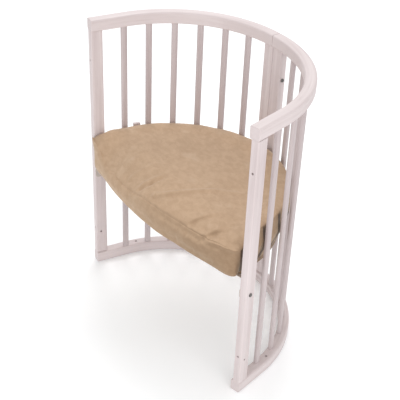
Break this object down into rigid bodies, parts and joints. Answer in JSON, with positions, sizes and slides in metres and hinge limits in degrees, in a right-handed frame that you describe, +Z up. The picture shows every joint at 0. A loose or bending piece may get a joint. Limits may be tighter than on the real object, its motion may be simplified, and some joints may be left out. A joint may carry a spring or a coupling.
{
  "type": "crib half seat",
  "caption": "Curved-back child seat made from half of a small oval crib: bent slatted panels, seat board and a loose half-moon cushion.",
  "frame": {"origin": "on the floor, under the middle of the footprint", "axes": "+Z up, +Y towards the back seam, so the open front faces -Y; the left panel lies on -X and the right panel on +X"},
  "size_m": [0.7642, 0.4653, 0.86],
  "materials": {
    "painted_wood": "whitewashed, satin, fine grain",
    "bare_wood": "bare, sanded",
    "plate_steel": "beige-grey powder coat",
    "bolt_steel": "zinc-plated, satin",
    "cover_fabric": "short-pile velour",
    "foam": "open-cell foam"
  },
  "bodies": {
    "frame": {"top_rail_left": "painted_wood", "top_rail_right": "painted_wood", "bottom_rail_left": "painted_wood", "bottom_rail_right": "painted_wood", "front_post_left": "painted_wood", "front_post_right": "painted_wood", "back_post_left": "painted_wood", "back_post_right": "painted_wood", "slat_left_1": "painted_wood", "slat_left_2": "painted_wood", "slat_left_3": "painted_wood", "slat_left_4": "painted_wood", "slat_left_5": "painted_wood", "slat_left_6": "painted_wood", "slat_right_1": "painted_wood", "slat_right_2": "painted_wood", "slat_right_3": "painted_wood", "slat_right_4": "painted_wood", "slat_right_5": "painted_wood", "slat_right_6": "painted_wood", "post_dowels": "bare_wood", "seat_board": "bare_wood", "locating_tab": "painted_wood", "seat_plate_front_left": "plate_steel", "seat_plate_front_right": "plate_steel", "seat_plate_back_left": "plate_steel", "seat_plate_back_right": "plate_steel", "back_joint_bolts": "bolt_steel", "back_joint_nuts": "bolt_steel", "seat_bolts": "bolt_steel", "seat_board_screws": "bolt_steel", "tab_screws": "bolt_steel"},
    "cushion": {"cushion_cover": "cover_fabric", "cushion_core": "foam"}
  },
  "joints": [
    {"name": "cushion_lift", "type": "slide", "parent": "frame", "child": "cushion", "axis": [0, 0, 1], "range_m": [0, 0.48]}
  ]
}
